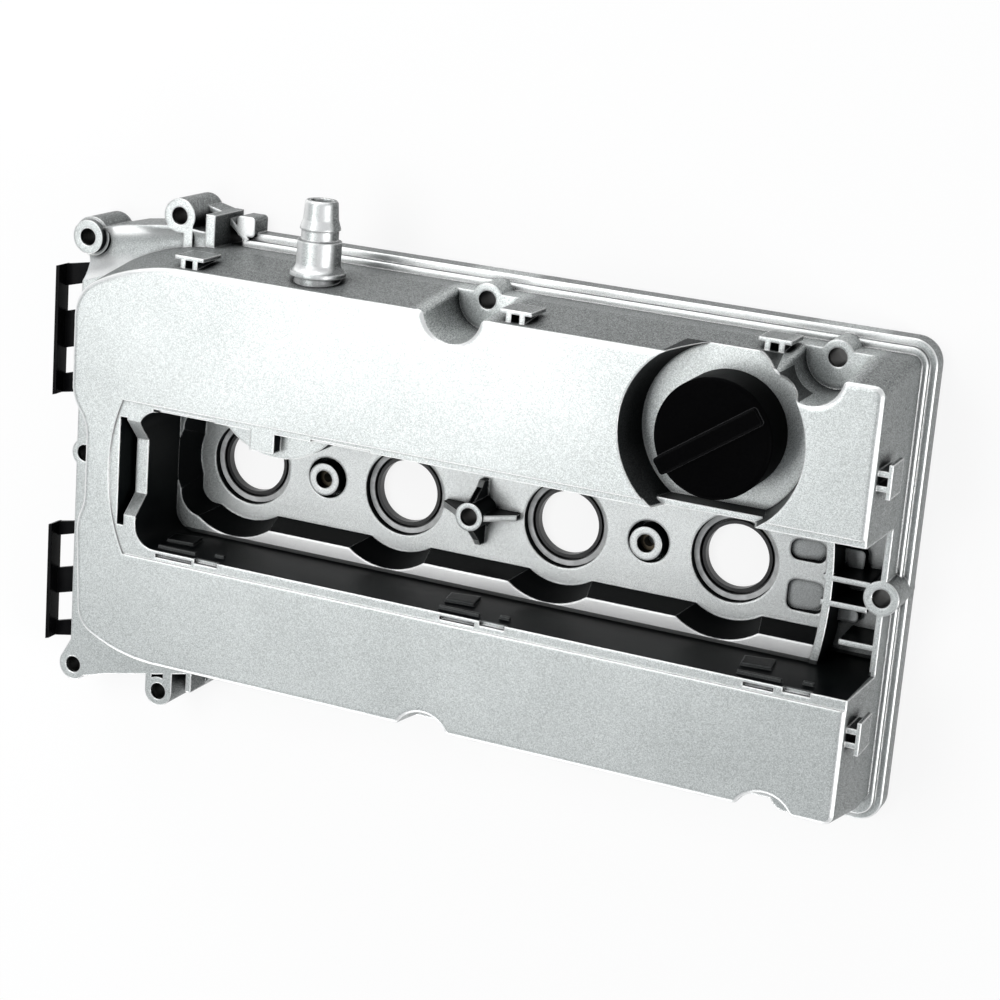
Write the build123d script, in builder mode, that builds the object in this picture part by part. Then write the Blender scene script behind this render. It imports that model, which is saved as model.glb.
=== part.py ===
from build123d import *
import os

# Layout in millimetres. The origin is the middle of the row of plug wells on the gasket face,
# +X runs to the filler end, +Y to the breather pipe side and +Z up to the deck.
well_pitch = 86.0
well_count = 4

# Heights over the gasket face
rim_height = 10.0
bead_height = 13.0
floor_height = 10.0
ledge_height = 27.0
boss_height = 28.0
deck_height = 68.0
filler_height = 46.0

# Walls
wall = 3.0
deck_wall = 3.5
end_cavity_floor = 5.0
deck_round = 3.0

# Flat rim with the gasket groove
rim_right = 213.0
rim_front = -114.0
rim_back = 117.0
rim_left = -140.0
web_height = 13.0
rim_corner = 12.0
bead_inset = 3.6
rim_round = 1.2
groove_width = 2.6
groove_depth = 3.0
groove_inset = 1.8
groove_left = -209.5
gasket_gap = 0.1
gasket_rim = 0.8
jog_radius = 8.0

# Outline of the cam housing at the deck and over its lower stage
deck_left, deck_right, deck_front, deck_back = -201.0, 205.2, -96.2, 105.2
foot_left, foot_right, foot_front, foot_back = -204.5, 206.6, -103.0, 110.0
housing_corner = 5.0
waist_depth = 9.0
waist_half = 14.0

# Plate at the timing end
plate_left = -222.0

# Coil channel
channel_back = 33.5
channel_front = -36.6
channel_left = -162.0
channel_corner = 11.0
end_wall_x = 203.7
lip_depth = 1.0
lip_back = 36.7
lip_front = -41.6
slot_left = -172.5
slot_right = -168.5
slot_depth = 25.0
notch_depth = 11.0

# Latches for the coil rail on the front wall of the channel, and the rebates in the channel's lip
latch_xs = (-154.0, 0.0, 148.7)
latch_reach = 1.6
latch_bar = (3.0, 24.0, 60.4, 62.0)
latch_tab = (33.0, 38.0, 56.6, 58.2)
latch_tongue = [(-0.6, 40.0), (1.0, 50.6), (15.3, 49.0), (13.6, 37.0), (-0.6, 40.0)]
latch_notch = (26.4, 39.4)
latch_notch_depth = 2.2
rebate_depth = 2.5
front_rebates = [(-149.6, -129.0), (6.0, 24.0), (156.6, 171.0)]
front_rebate_ys = (-39.9, -38.0)
back_rebates = [(-154.0, -120.0), (-67.5, -35.7)]
back_rebate_width = 1.2

# Pocket of the plug wells
pocket_left = -157.0
pocket_half = 25.0
pocket_draft = 10.0
lobe_foot_radius = 29.9
lobe_top_radius = 34.7
cross_wall_x = 177.4
cross_wall_thickness = 3.7
cross_wall_radius = 210.0
under_left, under_right, under_half = -151.0, 152.0, 21.0
end_pockets = [(163.5, 10.5, 17.0, 10.0), (164.3, -11.4, 17.4, 15.0)]
end_pocket_z = 6.2
end_pocket_fall = 0.2
end_pocket_corner = 4.0
end_islands = [(183.0, 10.7, 16.0, 9.6), (183.0, -16.4, 16.0, 5.8)]
end_island_corner = 2.4

# Plug wells and their seals
well_radius = 21.5
well_depth = 5.0
well_seat_radius = 19.2
well_tower_radius = 25.0
seal_gap = 0.1
seal_bore = 15.7
seal_chamfer = 1.2
seal_collar_radius = 17.3
seal_collar_top = 5.6
seal_groove_radius = 18.4
seal_groove_floor = 2.5
seal_flange_radius = 21.1
seal_flange_rise = 0.9
seal_flange_edge = 1.3

# Bolt bosses: place and outer radius, from the timing end round by the back
side_bolt_xs = (1.0, 172.0)
side_bolt_front = -103.0
side_bolt_back = 106.5
side_boss_radius = 8.0
side_bosses = [(x, y) for y in (side_bolt_back, side_bolt_front) for x in side_bolt_xs]
bolt_bosses = [
    (-219.6, 105.3, 8.5),
    (-167.0, 123.2, 8.7),
    (side_bolt_xs[0], side_bolt_back, side_boss_radius),
    (side_bolt_xs[1], side_bolt_back, side_boss_radius),
    (204.9, 0.4, 8.3),
    (side_bolt_xs[1], side_bolt_front, side_boss_radius),
    (side_bolt_xs[0], side_bolt_front, side_boss_radius),
    (-168.0, -126.3, 7.8),
    (-220.2, -122.7, 8.3),
    (-217.2, -6.8, 7.5),
]
end_collar_radius = 9.9
end_collar_height = 24.0
scallop_radius = 14.5
scallop_round = 2.5
lip_hole = 4.4
sleeve_outer = 5.2
sleeve_inner = 4.2
sleeve_length = 26.0
sleeve_gap = 0.03

# Centre boss and the coil screw bosses
star_radius = 7.0
star_ribs = [(19.5, 0), (15.6, 90), (19.5, 180), (17.0, 270)]
star_rib_width = 3.0
coil_boss_xs = (-86.0, 86.0)
coil_boss_radius = 8.2
coil_boss_height = 14.0
coil_pocket_radius = 10.4
coil_pocket_depth = 6.0
coil_hole = 4.5
insert_foot = 3.0
insert_length = 6.0
insert_bore = 2.6

# Filler recess and cap
cap_x, cap_y = 131.0, 70.0
recess_top_radius = 43.7
recess_foot_radius = 40.0
recess_x, recess_y = 129.7, 69.5
strip_height = 58.0
neck_radius = 18.0
lug_radius = 22.0
lug_width = 12.0
cap_radius = 27.6
cap_height = 69.6
cap_skirt_gap = 0.4
cap_wall = 2.2
cap_roof = 2.6
grip_length = 54.0
grip_width = 8.4
grip_height = 3.0
grip_angle = 35.0
stem_gap = 0.4
stem_foot = 38.0
lug_height = 4.0
cap_seal_height = 2.4
cap_seal_width = 2.6
cap_round = 2.2
cap_flange = 2.0
lug_gap = 0.3
lug_side_gap = 0.6
grip_shift = -1.5
grip_round = 1.0

# Breather pipe
pipe_x = -77.5
pipe_z = 50.0
pipe_bore = 5.5
spigot_radius = 10.6

# Vent valve under the deck
vent_x, vent_y = -89.0, 58.8
vent_radius = 38.6
vent_wall = 3.0
vent_foot = 30.0
vent_top = 60.0
vent_shoulder = 48.0
vent_shoulder_width = 2.0
vent_gap = 0.2
vent_floor = 2.5
vent_plate_radius = 13.0
vent_plate_z = 50.0
vent_plate_thickness = 1.6
membrane = 0.8
diaphragm_rim = 1.4
vent_port = 4.0
spring_radius = 8.0
spring_wire = 0.7
spring_turns = 4

# Oil separator plate
baffle_z = 40.0
baffle_thickness = 2.0
baffle_gap = 0.05
baffle_left, baffle_right, baffle_front, baffle_back = -46.0, 84.0, 38.5, 86.0
baffle_posts = [(x, y) for x in (-38.0, 20.0, 76.0) for y in (45.0, 79.0)]
post_radius = 3.2
peg_radius = 1.5
peg_gap = 0.1
peg_reach = 0.8

# Guards at the timing end
guard_left = -238.0
guard_wall = 2.0
guard_foot_z = 19.0
guard_foot = 2.0
guard_top = 28.0
guard_bar = 3.0
guard_gap = 0.1
guard_slant = 3.0

# Clips on the walls: place along the wall, wall side, top height
clip_length = 15.5
clip_reach = 6.5
clip_arm = 2.6
clip_arm_pitch = 6.6
clip_bar = 1.9
clip_depth = 17.0
clip_root = 1.5
clips = [
    (-139.5, 105.0, 0, 64.0),
    (31.0, 105.0, 0, 64.0),
    (147.3, 107.2, 0, 44.0),
    (205.4, 63.7, -90, 64.0),
    (205.4, -54.5, -90, 64.0),
]

well_xs = [(i - (well_count - 1) / 2) * well_pitch for i in range(well_count)]


def housing_outline(left, right, front, back):
    """Closed outline of the cam housing at one height."""
    corner = housing_corner
    with BuildLine() as outline:
        side = Line((right, front + corner), (right, back - corner))
        TangentArc(side @ 1, (right - corner, back), tangent=side % 1)
        top = Line((right - corner, back), (left + 61, back))
        shoulder = TangentArc(top @ 1, (left + 11, back - 12.7), tangent=top % 1)
        TangentArc(shoulder @ 1, (left, back - 31.2), tangent=shoulder % 1)
        upper = Line((left, back - 31.2), (left, 40))
        bump_out = TangentArc(upper @ 1, (left + waist_depth / 2, (40 + waist_half) / 2), tangent=upper % 1)
        TangentArc(bump_out @ 1, (left + waist_depth, waist_half), tangent=bump_out % 1)
        waist = Line((left + waist_depth, waist_half), (left + waist_depth, -waist_half))
        bump_in = TangentArc(waist @ 1, (left + waist_depth - 2, -waist_half - 10), tangent=waist % 1)
        TangentArc(bump_in @ 1, (left + waist_depth - 4, -waist_half - 20), tangent=bump_in % 1)
        lower = Line((left + waist_depth - 4, -waist_half - 20), (left + waist_depth - 2, front + 22.2))
        heel = TangentArc(lower @ 1, (left + 15, front + 9.5), tangent=lower % 1)
        TangentArc(heel @ 1, (left + 51, front), tangent=heel % 1)
        bottom = Line((left + 51, front), (right - corner, front))
        TangentArc(bottom @ 1, (right, front + corner), tangent=bottom % 1)
    return outline.line


# Cam housing: lower stage, leaning upper stage, scallops over the bolts and the rounded deck edge
with BuildPart() as housing:
    with BuildSketch(Plane.XY.offset(boss_height)):
        add(housing_outline(foot_left, foot_right, foot_front, foot_back))
        make_face()
    with BuildSketch(Plane.XY.offset(deck_height)):
        add(housing_outline(deck_left, deck_right, deck_front, deck_back))
        make_face()
    loft(ruled=True)
    deck_edges = housing.faces().sort_by(Axis.Z)[-1].outer_wire().edges()
    fillet(deck_edges, deck_round)
    with BuildSketch(Plane.XY.offset(boss_height)):
        with Locations(*side_bosses):
            Circle(scallop_radius)
    extrude(amount=deck_height, mode=Mode.SUBTRACT)
    scallop_edges = housing.edges().filter_by(GeomType.CIRCLE).filter_by(
        lambda edge: abs(edge.center().Z - deck_height) < 0.01 and abs(edge.radius - scallop_radius) < 0.01
    )
    fillet(scallop_edges, scallop_round)

# Hollow of the housing: a shell all round, closed over the coil channel, the scallops and the filler recess
with BuildPart() as hollow:
    with BuildSketch(Plane.XY):
        add(housing_outline(foot_left + wall, foot_right - wall, foot_front + wall, foot_back - wall))
        make_face()
    with BuildSketch(Plane.XY.offset(deck_height - deck_wall)):
        add(housing_outline(deck_left + wall, deck_right - wall, deck_front + wall, deck_back - wall))
        make_face()
    loft(ruled=True)
    with BuildSketch(Plane.XY):
        with Locations(((channel_left - wall + foot_right) / 2, (channel_back + channel_front) / 2)):
            Rectangle(foot_right - channel_left + wall, channel_back - channel_front + 2 * wall)
    extrude(amount=deck_height, mode=Mode.SUBTRACT)
    with BuildSketch(Plane.XY.offset(deck_height - slot_depth - wall)):
        with Locations(((slot_left + channel_left) / 2 - wall, 0)):
            Rectangle(channel_left - slot_left, 66)
    extrude(amount=deck_height, mode=Mode.SUBTRACT)
    with BuildSketch(Plane.XY.offset(boss_height - wall)):
        with Locations(*side_bosses):
            Circle(scallop_radius + wall)
    extrude(amount=deck_height, mode=Mode.SUBTRACT)
    with BuildSketch(Plane.XY):
        with Locations(*side_bosses):
            Circle(sleeve_outer + wall)
    extrude(amount=boss_height, mode=Mode.SUBTRACT)
    with BuildSketch(Plane.XY.offset(filler_height - wall)):
        with Locations((recess_x, recess_y)):
            Circle(recess_top_radius + wall)
    extrude(amount=deck_height, mode=Mode.SUBTRACT)

# Rim and the raised bead inside it, each with a rounded top edge
with BuildPart() as rim:
    with BuildSketch(Plane.XY) as rim_sketch:
        with Locations(((rim_left + rim_right) / 2, (rim_front + rim_back) / 2)):
            Rectangle(rim_right - rim_left, rim_back - rim_front)
        fillet(rim_sketch.vertices().group_by(Axis.X)[-1], rim_corner)
    extrude(amount=rim_height)
    fillet(rim.faces().sort_by(Axis.Z)[-1].edges(), rim_round)

with BuildPart() as bead:
    with BuildSketch(Plane.XY) as bead_sketch:
        with Locations(((rim_left + rim_right - bead_inset) / 2, (rim_front + rim_back) / 2)):
            Rectangle(rim_right - bead_inset - rim_left, rim_back - rim_front - 2 * bead_inset)
        fillet(bead_sketch.vertices().group_by(Axis.X)[-1], rim_corner - bead_inset)
    extrude(amount=bead_height)
    fillet(bead.faces().sort_by(Axis.Z)[-1].edges(), rim_round)

# Line of the gasket: round the rim, inside the bolts of the timing end and round the bolt of the filler end
with BuildSketch() as gasket_line:
    with BuildLine():
        Polyline(
            (rim_right - groove_inset, rim_back - groove_inset - gasket_rim), (-150, rim_back - groove_inset - gasket_rim),
            (groove_left, 100), (groove_left, -106), (-196, rim_front + groove_inset),
            (rim_right - groove_inset, rim_front + groove_inset),
            (rim_right - groove_inset, rim_back - groove_inset - gasket_rim),
        )
    make_face()
    fillet(gasket_line.vertices(), rim_corner - groove_inset)
    with Locations(bolt_bosses[4][:2]):
        Circle(jog_radius, mode=Mode.SUBTRACT)


def gasket_band(width):
    """Ring of one width that follows the line of the gasket."""
    with BuildSketch() as band:
        add(gasket_line.sketch)
        offset(amount=width / 2)
        with BuildSketch(mode=Mode.PRIVATE) as inside:
            add(gasket_line.sketch)
            offset(amount=-width / 2)
        add(inside.sketch, mode=Mode.SUBTRACT)
    return band.sketch


with BuildPart() as gasket_groove:
    add(gasket_band(groove_width))
    extrude(amount=groove_depth)

# The cover: one moulding
with BuildPart() as cover:
    # Thick plate at the timing end, dished between its two back bolts
    with BuildSketch(Plane.XY):
        with BuildLine():
            Polyline(
                (-150, 117), (-169.5, 118.3), (-201, 114), (-212, 111), (plate_left - 2, 97), (plate_left, 92),
                (plate_left, -109), (-227, -118), (-214, -128), (-201, -124), (-174, -118.3), (-150, -113), (-150, 117),
            )
        make_face()
    extrude(amount=boss_height)
    with Locations(Plane(origin=(-150, 113.5, 34), z_dir=(-75, -16, 5))):
        Cone(7, 19, 78, align=(Align.CENTER, Align.CENTER, Align.MIN), mode=Mode.SUBTRACT)
    with BuildSketch(Plane.XY):
        with Locations((plate_left + 6.2, -61.5), (plate_left + 6.2, 46)):
            Rectangle(6.4, 80)
    extrude(amount=boss_height - wall, mode=Mode.SUBTRACT)

    # Rim and lower stage of the housing
    add(rim.part)
    add(bead.part)
    with BuildSketch(Plane.XY):
        add(housing_outline(foot_left, foot_right, foot_front, foot_back))
        make_face()
    extrude(amount=boss_height)

    # Stems and webs that tie the end bosses to the plate and the rim
    with BuildSketch(Plane.XY):
        with Locations((-162.8, -118), (-162.0, 114), (-149.5, 118)):
            Rectangle(5.2, 16)
        with Locations((-150.2, -117)):
            Rectangle(3, 12)
        with Locations((-174, -121)):
            Rectangle(3.5, 9)
    extrude(amount=boss_height)
    with BuildSketch(Plane.XY):
        with Locations((-138, 120)):
            RectangleRounded(10, 10, 2)
        with BuildLine():
            Polyline((-163, 128.5), (-150, 125.5), (-136, 114), (-138, 112.4), (-151, 123), (-163, 126), (-163, 128.5))
        make_face()
        with BuildLine():
            Polyline((-162, -129.5), (-150, -123.5), (-139, -113), (-141, -112), (-151.5, -121), (-162, -126.5), (-162, -129.5))
        make_face()
    extrude(amount=web_height)
    with BuildSketch(Plane.XY):
        for boss_x, boss_y, boss_radius in bolt_bosses:
            with Locations((boss_x, boss_y)):
                Circle(boss_radius)
    extrude(amount=boss_height)
    with BuildSketch(Plane.XY):
        with Locations(bolt_bosses[0][:2]):
            Circle(end_collar_radius)
    extrude(amount=end_collar_height)
    add(housing.part)
    add(hollow.part, mode=Mode.SUBTRACT)

    # Coil channel, open at the filler end above its end wall
    with BuildSketch(Plane.XY.offset(ledge_height)) as channel_sketch:
        with Locations(((channel_left + end_wall_x) / 2, (channel_back + channel_front) / 2)):
            Rectangle(end_wall_x - channel_left, channel_back - channel_front)
        fillet(channel_sketch.vertices().group_by(Axis.X)[0], channel_corner)
    extrude(amount=deck_height, mode=Mode.SUBTRACT)
    with BuildSketch(Plane.XY.offset(boss_height)):
        with Locations((end_wall_x, (channel_back + channel_front) / 2)):
            Rectangle(20, channel_back - channel_front)
    extrude(amount=deck_height, mode=Mode.SUBTRACT)
    with BuildSketch(Plane.XY.offset(deck_height - lip_depth)):
        with BuildLine():
            Line((deck_right + 10, lip_front), (-168, lip_front))
            ThreePointArc((-168, lip_front), (-177.7, -4.2), (-170.8, lip_back))
            Line((-170.8, lip_back), (deck_right + 10, lip_back))
            Line((deck_right + 10, lip_back), (deck_right + 10, lip_front))
        make_face()
    extrude(amount=deck_height, mode=Mode.SUBTRACT)

    # Latches on the front wall, a notch in the lip beside each and the rebates of the lip
    for latch_x in latch_xs:
        with BuildSketch(Plane.XZ.offset(-channel_front)):
            for low, high, foot, top in (latch_bar, latch_tab):
                with Locations((latch_x + (low + high) / 2, (foot + top) / 2)):
                    Rectangle(high - low, top - foot)
            with BuildLine():
                Polyline(*[(latch_x + x, z) for x, z in latch_tongue])
            make_face()
        extrude(amount=-latch_reach)
    with BuildSketch(Plane.XY.offset(deck_height - deck_wall)):
        for latch_x in latch_xs:
            with Locations((latch_x + sum(latch_notch) / 2, channel_front - latch_notch_depth / 2)):
                Rectangle(latch_notch[1] - latch_notch[0], latch_notch_depth)
    extrude(amount=deck_wall, mode=Mode.SUBTRACT)
    with BuildSketch(Plane.XY.offset(deck_height - rebate_depth)):
        for low, high in front_rebates:
            with Locations(((low + high) / 2, sum(front_rebate_ys) / 2)):
                Rectangle(high - low, front_rebate_ys[1] - front_rebate_ys[0])
        for low, high in back_rebates:
            with Locations(((low + high) / 2, channel_back + back_rebate_width / 2)):
                Rectangle(high - low, back_rebate_width)
    extrude(amount=rebate_depth, mode=Mode.SUBTRACT)

    # Slot and notched rib at the closed end of the channel
    with BuildSketch(Plane.XY.offset(deck_height - slot_depth)):
        with Locations(((slot_left + slot_right) / 2, 0.5)):
            Rectangle(slot_right - slot_left, 55)
    extrude(amount=deck_height, mode=Mode.SUBTRACT)
    with BuildSketch(Plane.YZ.offset(slot_right - 1)):
        with BuildLine():
            Polyline(
                (28, deck_height), (15.7, deck_height - notch_depth), (-12, deck_height - notch_depth),
                (-22.4, deck_height), (28, deck_height),
            )
        make_face()
    extrude(amount=channel_left - slot_right + 3, mode=Mode.SUBTRACT)

    # Pocket with a lobe round each plug well
    with BuildSketch(Plane.XY.offset(floor_height)) as pocket_sketch:
        with Locations(((pocket_left + cross_wall_x) / 2, 0)):
            Rectangle(cross_wall_x - pocket_left, 2 * pocket_half)
        fillet(pocket_sketch.vertices().group_by(Axis.X)[0], 9)
    extrude(amount=ledge_height - floor_height, taper=-pocket_draft, mode=Mode.SUBTRACT)
    with Locations(*[(x, 0, floor_height) for x in well_xs]):
        Cone(
            lobe_foot_radius, lobe_top_radius, ledge_height - floor_height,
            align=(Align.CENTER, Align.CENTER, Align.MIN), mode=Mode.SUBTRACT,
        )

    # Filler end: deep end cavity, cross wall, ribs and the boss on the end wall
    with BuildSketch(Plane.XY.offset(end_cavity_floor)):
        with Locations(((cross_wall_x + end_wall_x) / 2, (channel_back + channel_front) / 2)):
            Rectangle(end_wall_x - cross_wall_x, channel_back - channel_front)
    extrude(amount=boss_height, mode=Mode.SUBTRACT)
    with BuildSketch(Plane.XY.offset(end_cavity_floor)):
        with BuildLine():
            outer = RadiusArc((175.1 + cross_wall_thickness, channel_front), (177.2 + cross_wall_thickness / 2, channel_back), -cross_wall_radius)
            Line(outer @ 1, (177.2 - cross_wall_thickness / 2, channel_back))
            inner = RadiusArc((177.2 - cross_wall_thickness / 2, channel_back), (175.1, channel_front), cross_wall_radius)
            Line(inner @ 1, outer @ 0)
        make_face()
        with Locations((188, 5.5), (188, -6.4)):
            Rectangle(22, 2.6)
        with Locations((196, -23.5)):
            Rectangle(16.5, 2.6)
        with Locations(bolt_bosses[4][:2]):
            Circle(bolt_bosses[4][2])
    extrude(amount=boss_height - end_cavity_floor)

    with BuildSketch(Plane.XY.offset(end_cavity_floor)):
        for island_x, island_y, island_length, island_width in end_islands:
            with Locations((island_x, island_y)):
                RectangleRounded(island_length, island_width, end_island_corner)
    extrude(amount=floor_height - end_cavity_floor)
    for pocket_x, pocket_y, pocket_length, pocket_width in end_pockets:
        with BuildSketch(Plane(origin=(pocket_x, pocket_y, end_pocket_z), x_dir=(1, 0, -end_pocket_fall),
                               z_dir=(end_pocket_fall, 0, 1))):
            RectangleRounded(pocket_length, pocket_width, end_pocket_corner)
        extrude(amount=floor_height, mode=Mode.SUBTRACT)

    # Plug wells, coil screw bosses and the four-ribbed centre boss
    with BuildSketch(Plane.XY.offset(floor_height - well_depth)):
        with Locations(*[(x, 0) for x in well_xs]):
            Circle(well_radius)
    extrude(amount=well_depth, mode=Mode.SUBTRACT)
    with BuildSketch(Plane.XY):
        with Locations(*[(x, 0) for x in well_xs]):
            Circle(well_seat_radius)
    extrude(amount=floor_height, mode=Mode.SUBTRACT)
    with BuildSketch(Plane.XY.offset(floor_height - coil_pocket_depth)):
        with Locations(*[(x, 0) for x in coil_boss_xs]):
            Circle(coil_pocket_radius)
    extrude(amount=coil_pocket_depth, mode=Mode.SUBTRACT)
    with BuildSketch(Plane.XY):
        with Locations(*[(x, 0) for x in coil_boss_xs]):
            Circle(coil_boss_radius)
    extrude(amount=coil_boss_height)
    with BuildSketch(Plane.XY):
        Circle(star_radius)
    extrude(amount=boss_height)
    for reach, angle in star_ribs:
        rib_plane = Plane(origin=(0, 0, 0), x_dir=Vector(1, 0, 0).rotate(Axis.Z, angle),
                          z_dir=Vector(0, -1, 0).rotate(Axis.Z, angle))
        with BuildSketch(rib_plane):
            with BuildLine():
                Polyline(
                    (0, 6), (reach, 6), (reach, floor_height + 5), (reach - 3, floor_height + 7.5),
                    (star_radius, boss_height - 2), (0, boss_height - 2), (0, 6),
                )
            make_face()
        extrude(amount=star_rib_width / 2, both=True)

    # Shallow pockets under the floor, round the well towers and bosses
    with BuildSketch(Plane.XY):
        with Locations(((under_left + under_right) / 2, 0)):
            Rectangle(under_right - under_left, 2 * under_half)
        with Locations(*[(x, 0) for x in well_xs]):
            Circle(well_tower_radius, mode=Mode.SUBTRACT)
        with Locations(*[(x, 0) for x in coil_boss_xs]):
            Circle(coil_pocket_radius + wall, mode=Mode.SUBTRACT)
        Circle(star_radius + 2, mode=Mode.SUBTRACT)
    extrude(amount=floor_height - wall, mode=Mode.SUBTRACT)

    # Filler recess, its thin front strip and the neck with two lug slots
    with Locations((recess_x, recess_y, filler_height)):
        Cone(
            recess_foot_radius, recess_top_radius, deck_height - filler_height,
            align=(Align.CENTER, Align.CENTER, Align.MIN), mode=Mode.SUBTRACT,
        )
    with BuildSketch(Plane.XY.offset(filler_height - wall)):
        with Locations((recess_x, channel_back + wall / 2)):
            Rectangle(50, wall)
    extrude(amount=strip_height - filler_height + wall)
    with BuildSketch(Plane.XY.offset(filler_height - wall - 1)):
        with Locations((cap_x, cap_y)):
            Circle(neck_radius)
            Rectangle(2 * lug_radius, lug_width)
    extrude(amount=wall + 2, mode=Mode.SUBTRACT)

    # Round chamber of the vent valve, which bulges into the channel
    with BuildSketch(Plane.XY.offset(vent_foot)):
        with Locations((vent_x, vent_y)):
            Circle(vent_radius)
    extrude(amount=vent_top - vent_foot)
    with BuildSketch(Plane.XY.offset(vent_top)):
        with Locations((-93.5, channel_back - 4.5)):
            Rectangle(13, 10)
    extrude(amount=deck_height - lip_depth - vent_top)
    with BuildSketch(Plane.XY.offset(vent_foot)):
        with Locations((vent_x, vent_y)):
            Circle(vent_radius - vent_wall)
    extrude(amount=vent_shoulder - vent_foot, mode=Mode.SUBTRACT)
    with BuildSketch(Plane.XY.offset(vent_shoulder)):
        with Locations((vent_x, vent_y)):
            Circle(vent_radius - vent_wall - vent_shoulder_width)
    extrude(amount=vent_top - wall - vent_shoulder, mode=Mode.SUBTRACT)

    # Breather pipe on the back wall
    with BuildSketch(Plane.YZ.offset(pipe_x)):
        with BuildLine():
            Polyline(
                (foot_back - 6, pipe_z), (foot_back - 6, pipe_z + 11), (109.5, pipe_z + 11), (110, pipe_z + 13.3),
                (112, pipe_z + 13.3),
            )
            ThreePointArc((112, pipe_z + 13.3), (113.2, pipe_z + 11.7), (115.5, pipe_z + spigot_radius))
            Polyline(
                (115.5, pipe_z + spigot_radius), (126.5, pipe_z + spigot_radius), (127.2, pipe_z + 8.9),
                (131.7, pipe_z + 8.9), (132, pipe_z + 9.7), (132.6, pipe_z + 9.7), (136.6, pipe_z + 8.5),
                (144.6, pipe_z + 7.9), (145.6, pipe_z + 7.2), (145.6, pipe_z), (foot_back - 6, pipe_z),
            )
        make_face()
    revolve(axis=Axis((pipe_x, 0, pipe_z), (0, 1, 0)))
    with BuildSketch(Plane.XZ.offset(-150)):
        with Locations((pipe_x, pipe_z)):
            Circle(pipe_bore)
    extrude(amount=50, mode=Mode.SUBTRACT)

    # Posts with pegs that carry the separator plate
    with BuildSketch(Plane.XY.offset(baffle_z + baffle_thickness + baffle_gap)):
        with Locations(*baffle_posts):
            Circle(post_radius)
    extrude(amount=deck_height - deck_wall / 2 - baffle_z - baffle_thickness)
    with BuildSketch(Plane.XY.offset(baffle_z - peg_reach)):
        with Locations(*baffle_posts):
            Circle(peg_radius)
    extrude(amount=baffle_thickness + 2 * peg_reach)

    # Clips for the wiring on the back wall and the filler end
    for clip_x, clip_y, clip_turn, clip_top in clips:
        with BuildSketch(Plane.XY.offset(clip_top)):
            with Locations(Location((clip_x, clip_y), clip_turn)):
                with Locations((-clip_arm_pitch / 2, (clip_reach - clip_root) / 2), (clip_arm_pitch / 2, (clip_reach - clip_root) / 2)):
                    Rectangle(clip_arm, clip_reach + clip_root)
                with Locations((0, clip_reach - clip_bar / 2)):
                    Rectangle(clip_length, clip_bar)
        extrude(amount=-clip_depth)

    # Bolt holes: a lip at the top and the seat of the steel sleeve below it
    with BuildSketch(Plane.XY):
        with Locations(*[(x, y) for x, y, r in bolt_bosses], (0, 0)):
            Circle(lip_hole)
    extrude(amount=boss_height + 1, mode=Mode.SUBTRACT)
    with BuildSketch(Plane.XY):
        with Locations(*[(x, y) for x, y, r in bolt_bosses], (0, 0)):
            Circle(sleeve_outer + sleeve_gap)
    extrude(amount=sleeve_length, mode=Mode.SUBTRACT)
    add(gasket_groove.part, mode=Mode.SUBTRACT)
    with BuildSketch(Plane.XY.offset(insert_foot)):
        with Locations(*[(x, 0) for x in coil_boss_xs]):
            Circle(coil_hole)
    extrude(amount=coil_boss_height - insert_foot, mode=Mode.SUBTRACT)

# Filler cap: skirt and roof, bayonet stem, seal flange and grip bar
with BuildPart() as oil_cap:
    with BuildSketch(Plane.XY.offset(filler_height + cap_skirt_gap)):
        with Locations((cap_x, cap_y)):
            Circle(cap_radius)
    extrude(amount=cap_height - filler_height - cap_skirt_gap)
    fillet(oil_cap.edges().group_by(Axis.Z)[-1], cap_round)
    with BuildSketch(Plane.XY.offset(filler_height)):
        with Locations((cap_x, cap_y)):
            Circle(cap_radius - cap_wall)
            Circle(neck_radius - stem_gap, mode=Mode.SUBTRACT)
    extrude(amount=cap_height - cap_roof - filler_height, mode=Mode.SUBTRACT)
    with BuildSketch(Plane.XY.offset(filler_height + cap_seal_height + 2 * seal_gap)):
        with Locations((cap_x, cap_y)):
            Circle(cap_radius - cap_wall)
    extrude(amount=cap_flange)
    with BuildSketch(Plane.XY.offset(stem_foot)):
        with Locations((cap_x, cap_y)):
            Circle(neck_radius - stem_gap)
    extrude(amount=filler_height - stem_foot + cap_flange)
    with BuildSketch(Plane.XY.offset(filler_height - wall - lug_gap - lug_height)):
        with Locations((cap_x, cap_y)):
            Rectangle(lug_width - 2 * lug_side_gap, 2 * (lug_radius - lug_side_gap))
            Circle(neck_radius - stem_gap - cap_wall, mode=Mode.SUBTRACT)
    extrude(amount=lug_height)
    with BuildSketch(Plane.XY.offset(stem_foot)):
        with Locations((cap_x, cap_y)):
            Circle(neck_radius - stem_gap - cap_wall)
    extrude(amount=cap_height - cap_roof - stem_foot, mode=Mode.SUBTRACT)
    with BuildSketch(Plane.XY.offset(cap_height - cap_roof / 2)) as grip_sketch:
        with Locations(Location((cap_x, cap_y), grip_angle)):
            with Locations((grip_shift, 0)):
                RectangleRounded(grip_length, grip_width, 1.5)
    extrude(amount=grip_height + cap_roof / 2)
    fillet(oil_cap.faces().sort_by(Axis.Z)[-1].outer_wire().edges(), grip_round)

with BuildPart() as cap_seal:
    with BuildSketch(Plane.XY.offset(filler_height + seal_gap)):
        with Locations((cap_x, cap_y)):
            Circle(cap_radius - cap_wall - seal_gap)
            Circle(cap_radius - cap_wall - seal_gap - cap_seal_width, mode=Mode.SUBTRACT)
    extrude(amount=cap_seal_height)

# Moulded gasket in the groove of the rim
with BuildPart() as perimeter_gasket:
    add(gasket_band(groove_width - 2 * gasket_gap))
    extrude(amount=groove_depth - gasket_gap)


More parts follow.
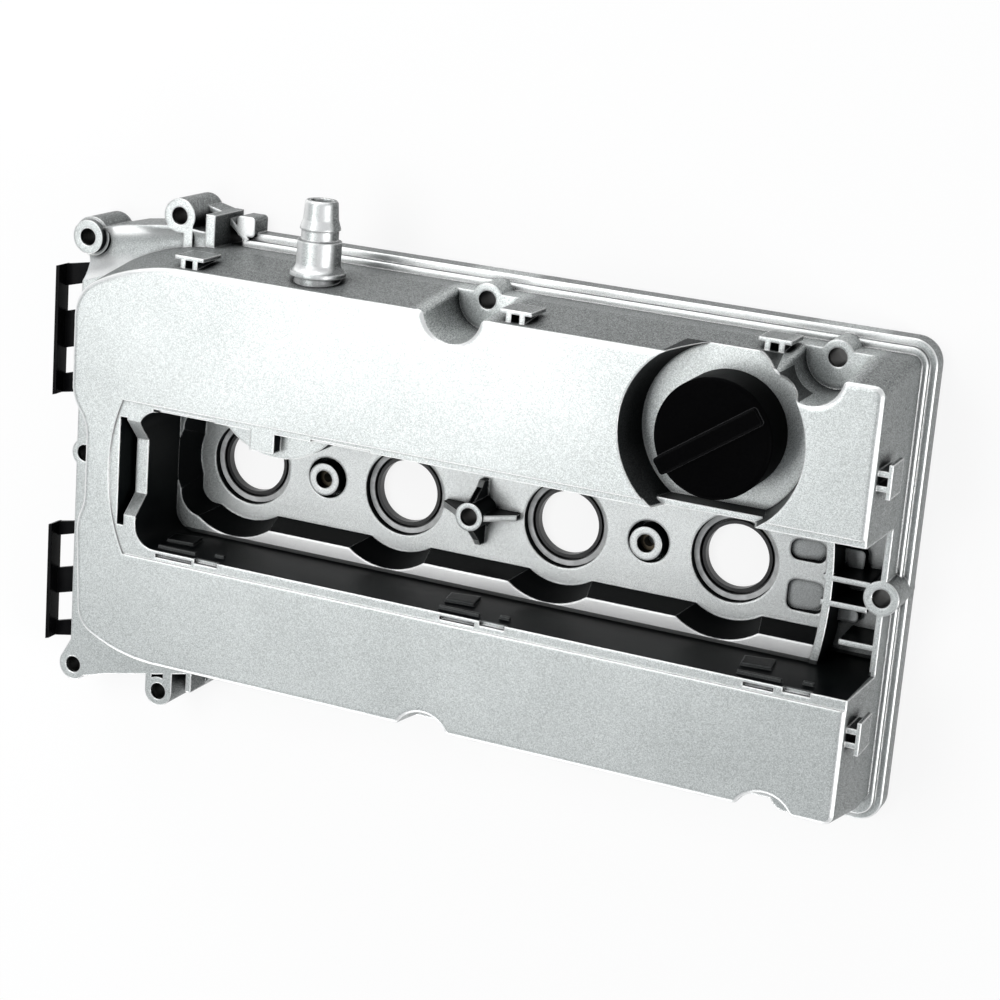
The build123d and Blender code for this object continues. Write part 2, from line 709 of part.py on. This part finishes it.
def plug_seal(x):
    """Stepped rubber ring in one plug well, with a flange over the seat and a lip for the plug tube."""
    well_floor = floor_height - well_depth
    with BuildPart() as seal:
        with BuildSketch(Plane.XZ):
            with BuildLine():
                Polyline(
                    (x + seal_bore + seal_chamfer, 0), (x + well_seat_radius - seal_gap, 0),
                    (x + well_seat_radius - seal_gap, well_floor + seal_gap),
                    (x + seal_flange_radius, well_floor + seal_gap),
                    (x + seal_flange_radius, well_floor + seal_flange_edge),
                    (x + seal_groove_radius, well_floor + seal_flange_rise),
                    (x + seal_groove_radius, seal_groove_floor), (x + seal_collar_radius, seal_groove_floor),
                    (x + seal_collar_radius, seal_collar_top), (x + seal_bore, seal_collar_top),
                    (x + seal_bore, seal_chamfer), (x + seal_bore + seal_chamfer, 0),
                )
            make_face()
        revolve(axis=Axis((x, 0, 0), (0, 0, 1)))
    return seal


def bolt_sleeve(x, y):
    """Steel tube that takes the bolt load past the moulding."""
    with BuildPart() as sleeve:
        with BuildSketch(Plane.XY):
            with Locations((x, y)):
                Circle(sleeve_outer)
                Circle(sleeve_inner, mode=Mode.SUBTRACT)
        extrude(amount=sleeve_length - sleeve_gap)
    return sleeve


def coil_insert(x):
    """Brass bush for a coil screw, bored at the core of its thread."""
    with BuildPart() as bush:
        with BuildSketch(Plane.XY.offset(insert_foot)):
            with Locations((x, 0)):
                Circle(coil_hole - sleeve_gap)
                Circle(insert_bore, mode=Mode.SUBTRACT)
        extrude(amount=insert_length)
    return bush


# Vent valve: closing cover, diaphragm, valve plate and spring
vent_inner = vent_radius - vent_wall - vent_gap
with BuildPart() as vent_cover:
    with BuildSketch(Plane.XY.offset(vent_foot)):
        with Locations((vent_x, vent_y)):
            Circle(vent_inner)
    extrude(amount=vent_shoulder - diaphragm_rim - 2 * seal_gap - vent_foot)
    with BuildSketch(Plane.XY.offset(vent_foot + vent_floor)):
        with Locations((vent_x, vent_y)):
            Circle(vent_inner - vent_shoulder_width)
            Circle(spring_radius + spring_wire + 1.5, mode=Mode.SUBTRACT)
    extrude(amount=vent_shoulder - vent_foot, mode=Mode.SUBTRACT)
    with BuildSketch(Plane.XY.offset(vent_foot + vent_floor)):
        with Locations((vent_x, vent_y)):
            Circle(spring_radius + spring_wire + 1.5)
    extrude(amount=vent_shoulder - vent_foot, mode=Mode.SUBTRACT)
    with BuildSketch(Plane.XY.offset(vent_foot + vent_floor)):
        with Locations((vent_x, vent_y)):
            Circle(spring_radius + spring_wire + 1.5)
            Circle(spring_radius + spring_wire + 0.3, mode=Mode.SUBTRACT)
    extrude(amount=2)
    with BuildSketch(Plane.XY):
        with Locations((vent_x, vent_y)):
            with PolarLocations(20, 6):
                Circle(vent_port)
    extrude(amount=vent_foot + vent_floor, mode=Mode.SUBTRACT)

with BuildPart() as vent_diaphragm:
    rim_foot = vent_shoulder - diaphragm_rim - seal_gap
    crown = vent_plate_z + vent_plate_thickness + seal_gap
    with BuildSketch(Plane.XZ.offset(-vent_y)):
        with BuildLine():
            Polyline(
                (vent_x + vent_inner, rim_foot), (vent_x + vent_inner, rim_foot + diaphragm_rim),
                (vent_x + vent_inner - vent_shoulder_width - 1, rim_foot + diaphragm_rim),
                (vent_x + vent_plate_radius, crown + membrane), (vent_x + 3, crown + membrane),
                (vent_x + 3, crown), (vent_x + vent_plate_radius, crown),
                (vent_x + vent_inner - vent_shoulder_width - 1.6, rim_foot), (vent_x + vent_inner, rim_foot),
            )
        make_face()
    revolve(axis=Axis((vent_x, vent_y, 0), (0, 0, 1)))

with BuildPart() as vent_plate:
    with BuildSketch(Plane.XY.offset(vent_plate_z)):
        with Locations((vent_x, vent_y)):
            Circle(vent_plate_radius)
    extrude(amount=vent_plate_thickness)
    with BuildSketch(Plane.XY.offset(vent_plate_z - 2)):
        with Locations((vent_x, vent_y)):
            Circle(spring_radius - spring_wire - 0.3)
            Circle(spring_radius - spring_wire - 1.8, mode=Mode.SUBTRACT)
    extrude(amount=2)

with BuildPart() as vent_spring:
    spring_foot = vent_foot + vent_floor + spring_wire
    spring_head = vent_plate_z - spring_wire
    with BuildLine():
        coil = Helix(
            pitch=(spring_head - spring_foot) / spring_turns, height=spring_head - spring_foot,
            radius=spring_radius, center=(vent_x, vent_y, spring_foot),
        )
    with BuildSketch(Plane(origin=coil @ 0, z_dir=coil % 0)):
        Circle(spring_wire)
    sweep(path=coil)

# Oil separator plate on the pegs under the deck
with BuildPart() as baffle_plate:
    with BuildSketch(Plane.XY.offset(baffle_z)):
        with Locations(((baffle_left + baffle_right) / 2, (baffle_front + baffle_back) / 2)):
            RectangleRounded(baffle_right - baffle_left, baffle_back - baffle_front, 4)
            with GridLocations(18, 14, 6, 2):
                Circle(2.5, mode=Mode.SUBTRACT)
        with Locations(*baffle_posts):
            Circle(peg_radius + peg_gap, mode=Mode.SUBTRACT)
    extrude(amount=baffle_thickness)


def end_guard(low, high, windows):
    """Black guard clipped to the edge of the end plate: an upright wall on a foot with two windows."""
    with BuildPart() as guard:
        with BuildSketch(Plane.XY.offset(guard_foot_z)):
            with BuildLine():
                Polyline(
                    (guard_left, low), (guard_left, high - guard_slant), (plate_left - guard_gap, high),
                    (plate_left - guard_gap, low + guard_slant), (guard_left, low),
                )
            make_face()
            for window_low, window_high in windows:
                with BuildLine():
                    Polyline(
                        (guard_left + guard_wall, window_low), (guard_left + guard_wall, window_high - guard_slant),
                        (plate_left - guard_bar, window_high), (plate_left - guard_bar, window_low + guard_slant),
                        (guard_left + guard_wall, window_low),
                    )
                make_face(mode=Mode.SUBTRACT)
        extrude(amount=guard_foot)
        with BuildSketch(Plane.XY.offset(guard_foot_z)):
            with BuildLine():
                Polyline(
                    (guard_left, low), (guard_left, high - guard_slant), (guard_left + guard_wall, high - guard_slant + 0.6),
                    (guard_left + guard_wall, low + 0.6), (guard_left, low),
                )
            make_face()
        extrude(amount=guard_top - guard_foot_z)
    return guard


pieces = {
    "cover": cover, "oil_cap": oil_cap, "cap_seal": cap_seal, "perimeter_gasket": perimeter_gasket,
    "vent_cover": vent_cover, "vent_diaphragm": vent_diaphragm, "vent_plate": vent_plate,
    "vent_spring": vent_spring, "baffle_plate": baffle_plate,
    "end_guard_upper": end_guard(20.7, 91.0, [(31.0, 47.5), (63.8, 80.0)]),
    "end_guard_lower": end_guard(-112.0, -46.0, [(-103.7, -85.2), (-74.2, -53.2)]),
}
for number, x in enumerate(well_xs, 1):
    pieces[f"plug_seal_{number}"] = plug_seal(x)
for number, x in enumerate(coil_boss_xs, 1):
    pieces[f"coil_insert_{number}"] = coil_insert(x)
for number, (x, y) in enumerate([(x, y) for x, y, radius in bolt_bosses] + [(0, 0)], 1):
    pieces[f"bolt_sleeve_{number}"] = bolt_sleeve(x, y)

os.makedirs("parts", exist_ok=True)
for name, piece in pieces.items():
    piece.part.label = name
    export_step(piece.part, f"parts/{name}.step")
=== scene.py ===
import math

import bmesh
import bpy
from mathutils import Matrix, Vector


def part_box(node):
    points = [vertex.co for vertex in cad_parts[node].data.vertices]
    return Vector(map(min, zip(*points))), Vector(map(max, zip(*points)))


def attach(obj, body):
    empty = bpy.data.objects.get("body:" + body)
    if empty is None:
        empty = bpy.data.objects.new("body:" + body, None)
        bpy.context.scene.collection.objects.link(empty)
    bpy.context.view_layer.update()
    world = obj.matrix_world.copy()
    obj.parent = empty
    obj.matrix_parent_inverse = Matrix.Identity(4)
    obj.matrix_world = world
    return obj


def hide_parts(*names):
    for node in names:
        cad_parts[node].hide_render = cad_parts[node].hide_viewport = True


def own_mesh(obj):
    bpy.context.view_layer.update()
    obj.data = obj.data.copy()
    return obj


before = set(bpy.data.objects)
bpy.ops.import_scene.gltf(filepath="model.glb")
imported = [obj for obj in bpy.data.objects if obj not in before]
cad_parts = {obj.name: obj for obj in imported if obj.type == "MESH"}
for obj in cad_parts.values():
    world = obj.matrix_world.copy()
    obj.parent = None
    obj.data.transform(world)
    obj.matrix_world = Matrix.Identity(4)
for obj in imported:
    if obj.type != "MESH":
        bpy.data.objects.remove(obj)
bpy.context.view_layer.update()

# The bench and its light: the cover lies gasket face down on a pale sheet, under one wide soft
# panel over the deck, with a panel beyond each of three sides and a dim room all round.
eye = Vector((0.45702, 0.33278, 1.07842))
eye_right = Vector((0.91040, 0.07760, -0.40630))
eye_up = Vector((-0.17910, 0.95930, -0.21820))
eye_back = Vector((0.37283, 0.27139, 0.88732))

camera = bpy.data.objects.new("camera", bpy.data.cameras.new("camera"))
camera.data.sensor_width = 36.0
camera.data.lens = 89.32
camera.data.clip_start = 0.05
camera.data.clip_end = 20.0
eye_turn = Matrix((eye_right, eye_up, eye_back)).transposed().to_4x4()
camera.matrix_world = Matrix.Translation(eye) @ eye_turn
bpy.context.scene.collection.objects.link(camera)
bpy.context.scene.camera = camera
bpy.context.scene.view_settings.view_transform = "Standard"


class Shade:
    """A socket among a material's nodes. Arithmetic on it adds Math nodes; node() adds any other."""

    def __init__(self, tree, socket=None):
        self.tree = tree
        self.socket = socket

    def node(self, kind, settings=(), inputs=(), output=0):
        made = self.tree.nodes.new("ShaderNode" + kind)
        for key, value in dict(settings).items():
            setattr(made, key, value)
        for key, value in dict(inputs).items():
            if isinstance(value, Shade):
                self.tree.links.new(value.socket, made.inputs[key])
            else:
                made.inputs[key].default_value = value
        return Shade(self.tree, made.outputs[output] if len(made.outputs) else None)

    def sum(self, operation, *terms):
        return self.node("Math", {"operation": operation}, dict(enumerate(terms)))

    def __add__(self, other):
        return self.sum("ADD", self, other)

    def __radd__(self, other):
        return self.sum("ADD", other, self)

    def __sub__(self, other):
        return self.sum("SUBTRACT", self, other)

    def __rsub__(self, other):
        return self.sum("SUBTRACT", other, self)

    def __mul__(self, other):
        return self.sum("MULTIPLY", self, other)

    def __rmul__(self, other):
        return self.sum("MULTIPLY", other, self)

    def __truediv__(self, other):
        return self.sum("DIVIDE", self, other)

    def size(self):
        return self.sum("ABSOLUTE", self)

    def most(self, other):
        return self.sum("MAXIMUM", self, other)

    def blend(self, first, second):
        """Mixes two colours by this socket's value."""
        return self.node("Mix", {"data_type": "RGBA"}, {0: self, 6: first, 7: second}, output=2)

    def ramp(self, low, high, start=0.0, end=1.0):
        """Carries this socket's value from low...high over to start...end, and stops there."""
        return self.node("MapRange", {"clamp": True}, {0: self, 1: low, 2: high, 3: start, 4: end})


def new_material(name):
    material = bpy.data.materials.new(name)
    material.use_nodes = True
    material.node_tree.nodes.clear()
    return material, Shade(material.node_tree)


def finish_with(material, surface):
    out = material.node_tree.nodes.new("ShaderNodeOutputMaterial")
    material.node_tree.links.new(surface.socket, out.inputs["Surface"])


sheet_half, sheet_drop, sheet_white = 6.0, 0.0002, 0.86
sheet_material, sheet = new_material("bench_sheet")
path = sheet.node("LightPath").socket.node
seen = Shade(sheet.tree, path.outputs["Is Camera Ray"])
for ray in ("Is Glossy Ray", "Is Transmission Ray"):
    seen = seen.most(Shade(sheet.tree, path.outputs[ray]))
sheet_matte = sheet.node("BsdfDiffuse", {}, {"Color": (0.9, 0.9, 0.9, 1)})
sheet_glow = sheet.node("Emission", {}, {"Color": (1, 1, 1, 1), "Strength": 1.0})
sheet_surface = sheet.node("MixShader", {}, {0: seen * sheet_white, 1: sheet_matte, 2: sheet_glow})
finish_with(sheet_material, sheet_surface)
sheet_mesh = bpy.data.meshes.new("bench_sheet")
sheet_corners = [
    (x * sheet_half, y * sheet_half, -sheet_drop) for x, y in ((-1, -1), (1, -1), (1, 1), (-1, 1))]
sheet_mesh.from_pydata(sheet_corners, [], [(0, 1, 2, 3)])
bench = bpy.data.objects.new("bench_sheet", sheet_mesh)
bench.data.materials.append(sheet_material)
bpy.context.scene.collection.objects.link(bench)


def panel(name, place, aim, width, height, power):
    lamp = bpy.data.lights.new(name, "AREA")
    lamp.shape = "RECTANGLE"
    lamp.size = width
    lamp.size_y = height
    lamp.energy = power
    holder = bpy.data.objects.new(name, lamp)
    holder.location = place
    holder.rotation_mode = "QUATERNION"
    holder.rotation_quaternion = (Vector(aim) - Vector(place)).to_track_quat("-Z", "Y")
    bpy.context.scene.collection.objects.link(holder)


panel("key_panel", (-0.53, 0.30, 1.25), (-0.53, 0.30, 0), 0.7, 1.2, 11.0)
panel("end_panel", (1.9, -0.45, 0.65), (0.1, 0, 0), 0.7, 1.4, 22.0)
panel("back_panel", (-0.6, 2.0, 0.55), (0, 0, 0), 2.0, 0.6, 22.0)
panel("front_panel", (-0.75, -1.8, 0.42), (0, 0, 0), 1.6, 0.4, 12.0)

room = bpy.data.worlds.new("room")
bpy.context.scene.world = room
room.use_nodes = True
room.node_tree.nodes["Background"].inputs["Color"].default_value = (0.95, 0.97, 1.0, 1)
room.node_tree.nodes["Background"].inputs["Strength"].default_value = 0.36


# The cover: one moulding sprayed all over with silver paint, whose metal fleck shows as fine
# bright and dark grains, thicker on the flat decks than down the walls.
paint_light = (0.795, 0.83, 0.82, 1)
paint_dark = (0.37, 0.395, 0.39, 1)
bare_plastic = (0.002, 0.0025, 0.003, 1)
bare_overspray = (0.009, 0.0105, 0.0105, 1)
fleck_size = 3000.0
orange_peel_size = 600.0
# How far occlusion looks when it thins the paint and paints shade in recesses and tight corners
spray_and_shade_reach, corner_shade_reach = 0.09, 0.004
wall_coat, scallop_coat = 0.29, 0.3
recess_shelter, front_wall_shelter = 0.85, 0.85
cloud_size, edge_radius = 16.0, 0.0015

hairline, scallop_fade, end_fade = 1e-5, 0.005, 0.005
channel_x, channel_y = (-0.18, 0.2045), (-0.0372, 0.0342)
recess_middle, recess_reach, recess_foot = (0.1297, 0.0695, 0.0), 0.0445, 0.0455
bolt_middle, bolt_half_pitch, scallop_reach = (0.0865, 0.00175), (0.0855, 0.10475), 0.022
latch_front, latch_top = -0.0348, 0.0655
low_paint_top, ledge_low = 0.0278, 0.02
timing_end = -0.14
# The near-white silver of the painted highlights on edges, fillets, the rim and the ledge
highlight_silver = (0.97, 0.975, 0.97, 1)

paint, coat = new_material("silver_paint")
spot = coat.node("TexCoord", {}, {}, output=3)
along = coat.node("SeparateXYZ", {}, {0: spot})
across = Shade(coat.tree, along.socket.node.outputs[1])
height = Shade(coat.tree, along.socket.node.outputs[2])
true_normal = coat.node("NewGeometry", {}, {}, output=1)
facing = coat.node("SeparateXYZ", {}, {0: true_normal}, output=2)

# Places that the spray gun doesn't reach well: the coil channel and the wall of the filler recess
in_channel_x = (along.ramp(channel_x[0], channel_x[0] + hairline)
                * along.ramp(channel_x[1], channel_x[1] - hairline))
in_channel_y = (across.ramp(channel_y[0], channel_y[0] + hairline)
                * across.ramp(channel_y[1], channel_y[1] - hairline))
in_channel = in_channel_x * in_channel_y
upward = facing.ramp(0.22, 0.55) * (1.0 - in_channel * facing.ramp(0.85, 0.6))
from_recess = coat.node("VectorMath", {"operation": "DISTANCE"}, {
    0: coat.node("CombineXYZ", {}, {0: along, 1: across}), 1: recess_middle}, output=1)
in_recess = (from_recess.ramp(recess_reach, recess_reach - hairline)
             * height.ramp(recess_foot, recess_foot + hairline))
sheltered = in_channel.most(in_recess * recess_shelter)
bolt_along = (along - bolt_middle[0]).size() - bolt_half_pitch[0]
bolt_across = (across - bolt_middle[1]).size() - bolt_half_pitch[1]
from_bolt = coat.node("VectorMath", {"operation": "LENGTH"}, {
    0: coat.node("CombineXYZ", {}, {0: bolt_along, 1: bolt_across})}, output=1)
scallop = from_bolt.ramp(scallop_reach, scallop_reach - scallop_fade)

# How much paint a point carries: full on faces that look up, thin on walls; occlusion takes it down in
# recesses and tight corners, partly as thinner paint and partly as painted shade
nearby = {"samples": 6, "only_local": True}
open_air = coat.node("AmbientOcclusion", nearby, {"Distance": spray_and_shade_reach}, output=1)
cloud = coat.node("TexNoise", {}, {"Vector": spot, "Scale": cloud_size, "Detail": 3.0})
flakes = coat.node("TexVoronoi", {}, {"Vector": spot, "Scale": fleck_size}, output=1)
cells = coat.node("SeparateColor", {}, {0: flakes})
grain = coat.node("TexNoise", {}, {"Vector": spot, "Scale": fleck_size * 0.8, "Detail": 1.0})
speckle = (cells * 0.8 + grain * 0.3).ramp(0.12, 0.95)
reach = ((open_air + (cloud - 0.5) * 0.3).ramp(0.35, 0.7) * (1.0 - sheltered)
         * (scallop * scallop_coat + wall_coat) * (speckle + 0.5))
on_front_wall = (across.ramp(latch_front, latch_front - hairline)
                 * height.ramp(latch_top, latch_top - hairline))
shade_of_front_wall = 1.0 - in_channel * on_front_wall * front_wall_shelter
corner = coat.node("AmbientOcclusion", nearby, {"Distance": corner_shade_reach}, output=1)
covered = (upward * open_air.ramp(0.02, 0.2)).most(reach) * shade_of_front_wall * corner.ramp(0.5, 0.72)

# Painted highlights: edges and fillets lightened to near-white silver, and the low rim and the channel's
# ledge lightened towards it too
peel = coat.node("TexNoise", {}, {"Vector": spot, "Scale": orange_peel_size, "Detail": 2.0})
edge = coat.node("Bevel", {"samples": 6}, {"Radius": edge_radius})
turned = coat.node("VectorMath", {"operation": "DOT_PRODUCT"}, {0: edge, 1: true_normal}, output=1)
rounded = facing.ramp(0.985, 0.9) * facing.ramp(0.3, 0.6) * (1.0 - in_channel) * 0.8
painted_glint = turned.ramp(0.97, 0.88).most(rounded) * open_air.ramp(0.2, 0.5) * shade_of_front_wall
low_and_flat = (upward * height.ramp(low_paint_top, low_paint_top - 0.0006)
                * along.ramp(timing_end - end_fade, timing_end)
                * along.ramp(channel_x[1], channel_x[1] - end_fade))
flat_tone = (speckle * 0.85 + cloud.ramp(0.35, 0.65) * 0.15).blend(paint_dark, paint_light)
on_ledge = height.ramp(ledge_low, ledge_low + end_fade, 0.25, 0.95)
low_painted_highlight = (1.0 - in_channel) * 0.5 + in_channel * on_ledge
silver_tone = (painted_glint * 0.9).most(low_and_flat * low_painted_highlight).blend(flat_tone, highlight_silver)
overspray = cloud.ramp(0.48, 0.68) * (speckle * 0.6 + 0.4) * height.ramp(0.012, 0.05, 0.35, 1.0)
bare_tone = overspray.blend(bare_plastic, bare_overspray)
surface_bump = coat.node("Bump", {}, {
    "Strength": 0.12, "Distance": 0.0002, "Height": speckle * 0.7 + peel * 0.1, "Normal": edge})
thick = covered.most(painted_glint * 0.8)
silver = coat.node("BsdfPrincipled", {}, {
    "Base Color": thick.blend(bare_tone, silver_tone),
    "Metallic": thick * 0.6,
    "Roughness": covered * 0.17 + (1.0 - thick) * 0.12 + 0.2,
    "Specular IOR Level": 0.015,
    "Coat Weight": thick * 0.2,
    "Coat Roughness": 0.2,
    "Normal": surface_bump,
})
finish_with(paint, silver)


def dress(node, material):
    """Gives one carried-over solid its finish."""
    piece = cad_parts[node]
    piece.data.materials.clear()
    piece.data.materials.append(material)
    return piece


dress("cover", paint)


# The filler cap: moulded in black plastic with a fine eroded grain and a straight grip bar, whose edges
# are lightened grey as a painted highlight. The vent valve's cover and plate are the same plastic.
cap_black, cap_bloom = (0.0006, 0.0006, 0.0008, 1), (0.0018, 0.0018, 0.002, 1)
cap_highlight = (0.06, 0.06, 0.062, 1)
plastic, grit = new_material("black_plastic")
spot = grit.node("TexCoord", {}, {}, output=3)
erosion = grit.node("TexNoise", {}, {"Vector": spot, "Scale": 900.0, "Detail": 4.0})
haze = grit.node("TexNoise", {}, {"Vector": spot, "Scale": 35.0, "Detail": 2.0})
edge = grit.node("Bevel", {"samples": 4}, {"Radius": 0.0008})
relief = grit.node("Bump", {}, {"Strength": 0.35, "Distance": 0.00015, "Height": erosion, "Normal": edge})
flat_normal = grit.node("NewGeometry", {}, {}, output=1)
turned = grit.node("VectorMath", {"operation": "DOT_PRODUCT"}, {0: edge, 1: flat_normal}, output=1)
edge_highlight_mask = turned.ramp(0.985, 0.9)
moulded = (erosion * 0.6 + haze * 0.4).ramp(0.3, 0.7).blend(cap_black, cap_bloom)
black = grit.node("BsdfPrincipled", {}, {
    "Base Color": edge_highlight_mask.blend(moulded, cap_highlight),
    "Roughness": haze * 0.16 + 0.42,
    "Specular IOR Level": 0.012,
    "Normal": relief,
})
finish_with(plastic, black)
for name in ("oil_cap", "vent_cover", "vent_plate"):
    dress(name, plastic)


# The end guards: two smooth ladder-like mouldings in glossy black plastic, clipped to the edge
# of the timing end's plate.
guard_black, guard_flow = (0.002, 0.002, 0.0025, 1), (0.007, 0.007, 0.0075, 1)
gloss, shine = new_material("guard_plastic")
spot = shine.node("TexCoord", {}, {}, output=3)
flow = shine.node("TexNoise", {}, {"Vector": spot, "Scale": 60.0, "Detail": 3.0})
edge = shine.node("Bevel", {"samples": 4}, {"Radius": 0.0006})
waves = shine.node("Bump", {}, {"Strength": 0.12, "Distance": 0.0004, "Height": flow, "Normal": edge})
guard = shine.node("BsdfPrincipled", {}, {
    "Base Color": flow.ramp(0.3, 0.7).blend(guard_black, guard_flow),
    "Roughness": flow * 0.12 + 0.18,
    "Specular IOR Level": 0.1,
    "Normal": waves,
})
finish_with(gloss, guard)
for name in ("end_guard_upper", "end_guard_lower"):
    dress(name, gloss)


# Seals, gasket and diaphragm: black moulded rubber with a dusty bloom. The plug seals' sloped flanges,
# which stand round the wells, are coloured light grey as a painted highlight.
rubber_black, rubber_dust = (0.006, 0.006, 0.007, 1), (0.02, 0.02, 0.021, 1)
flange_highlight_grey, flange_highlight_dust = (0.42, 0.43, 0.43, 1), (0.68, 0.69, 0.69, 1)
well_pitch = 0.086
flange_inner, flange_outer = 0.0186, 0.0222

rubber, bloom = new_material("seal_rubber")
spot = bloom.node("TexCoord", {}, {}, output=3)
dust = bloom.node("TexNoise", {}, {"Vector": spot, "Scale": 180.0, "Detail": 5.0})
over = bloom.node("SeparateXYZ", {}, {0: spot})
side = Shade(bloom.tree, over.socket.node.outputs[1])
from_well = bloom.node("VectorMath", {"operation": "LENGTH"}, {0: bloom.node("CombineXYZ", {}, {
    0: (over.size() - well_pitch).size() - well_pitch / 2, 1: side})}, output=1)
flange = (from_well.ramp(flange_inner, flange_inner + 0.0002)
          * from_well.ramp(flange_outer, flange_outer - hairline))
black_rubber = dust.ramp(0.35, 0.7).blend(rubber_black, rubber_dust)
highlight_rubber = dust.ramp(0.35, 0.7).blend(flange_highlight_grey, flange_highlight_dust)
rub = bloom.node("Bump", {}, {"Strength": 0.2, "Distance": 0.0002, "Height": dust})
soft = bloom.node("BsdfPrincipled", {}, {
    "Base Color": flange.blend(black_rubber, highlight_rubber),
    "Roughness": dust * 0.2 + 0.25,
    "Normal": rub,
})
finish_with(rubber, soft)
for name in ["cap_seal", "perimeter_gasket", "vent_diaphragm"] + [f"plug_seal_{n}" for n in range(1, 5)]:
    dress(name, rubber)


# Bolt sleeves and screw inserts: cut lengths of zinc-plated steel tube, pressed into the bolt
# bosses, and turned brass pressed into the two coil screw bosses. Both metals are toned very dark
# as painted shade for the holes they line.
def turned_metal(name, dark, light, rough):
    material, metal = new_material(name)
    place = metal.node("TexCoord", {}, {}, output=3)
    stretched = metal.node("Mapping", {}, {"Vector": place, "Scale": (60, 60, 2600)})
    lines = metal.node("TexNoise", {}, {"Vector": stretched, "Scale": 1.0, "Detail": 3.0})
    blotch = metal.node("TexNoise", {}, {"Vector": place, "Scale": 260.0, "Detail": 2.0})
    groove = metal.node("Bump", {}, {"Strength": 0.15, "Distance": 0.0001, "Height": lines})
    finish_with(material, metal.node("BsdfPrincipled", {}, {
        "Base Color": (lines * 0.6 + blotch * 0.4).ramp(0.3, 0.7).blend(dark, light),
        "Metallic": 1.0,
        "Roughness": blotch * 0.2 + rough,
        "Normal": groove,
    }))
    return material


shade_dark_zinc = turned_metal("zinc_steel_painted_shade", (0.03, 0.03, 0.03, 1), (0.11, 0.11, 0.105, 1), 0.35)
shade_dark_brass = turned_metal("turned_brass_painted_shade", (0.04, 0.035, 0.025, 1), (0.12, 0.1, 0.07, 1), 0.35)
for name in [f"bolt_sleeve_{n}" for n in range(1, 12)]:
    dress(name, shade_dark_zinc)
for name in ("coil_insert_1", "coil_insert_2"):
    dress(name, shade_dark_brass)


# The vent valve's soft pieces: the rubber diaphragm over its plate, and under it a spring of
# four turns of round wire.
spring_wire, spring_turns = 0.0007, 4
steps_a_turn, wire_sides = 40, 10


def follow_plate(piece, node):
    """Rides a soft piece, standing in its solid's place, on the cover's body; hides that solid and gives
    the piece a mesh of its own.
    """
    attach(piece, "cover_body")
    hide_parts(node)
    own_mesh(piece)


diaphragm_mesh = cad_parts["vent_diaphragm"].data.copy()
diaphragm = bpy.data.objects.new("valve_diaphragm", diaphragm_mesh)
bpy.context.scene.collection.objects.link(diaphragm)
follow_plate(diaphragm, "vent_diaphragm")

spring_low, spring_high = (Vector(corner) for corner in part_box("vent_spring"))
spring_middle = (spring_low + spring_high) / 2
spring_foot = Vector((spring_middle.x, spring_middle.y, spring_low.z + spring_wire))
spring_radius = (spring_high.x - spring_low.x) / 2 - spring_wire
spring_rise = spring_high.z - spring_low.z - 2 * spring_wire
spring_slope = spring_rise / spring_turns / (math.tau * spring_radius)

spring_mesh = bmesh.new()
last_ring = None
for step in range(spring_turns * steps_a_turn + 1):
    angle = math.tau * step / steps_a_turn
    outward = Vector((math.cos(angle), math.sin(angle), 0))
    forward = Vector((-outward.y, outward.x, spring_slope)).normalized()
    over_wire = forward.cross(outward)
    climbed = spring_rise * step / (spring_turns * steps_a_turn)
    wire_middle = outward * spring_radius + spring_foot + Vector((0, 0, climbed))
    ring = []
    for side_number in range(wire_sides):
        turn = math.tau * side_number / wire_sides
        ring.append(spring_mesh.verts.new(
            wire_middle + (outward * math.cos(turn) + over_wire * math.sin(turn)) * spring_wire))
    if last_ring is None:
        spring_mesh.faces.new(ring)
    else:
        for number in range(wire_sides):
            after = (number + 1) % wire_sides
            spring_mesh.faces.new((last_ring[number], last_ring[after], ring[after], ring[number]))
    last_ring = ring
spring_mesh.faces.new(reversed(last_ring))
bmesh.ops.recalc_face_normals(spring_mesh, faces=spring_mesh.faces)
for face in spring_mesh.faces:
    face.smooth = len(face.verts) == 4
spring_data = bpy.data.meshes.new("valve_spring")
spring_mesh.to_mesh(spring_data)
spring_mesh.free()
spring = bpy.data.objects.new("valve_spring", spring_data)
bpy.context.scene.collection.objects.link(spring)
spring.data.materials.append(shade_dark_zinc)
follow_plate(spring, "vent_spring")


# The oil separator plate: a flat moulding in the cap's black plastic, pressed on the pegs under
# the back deck.
dress("baffle_plate", plastic)
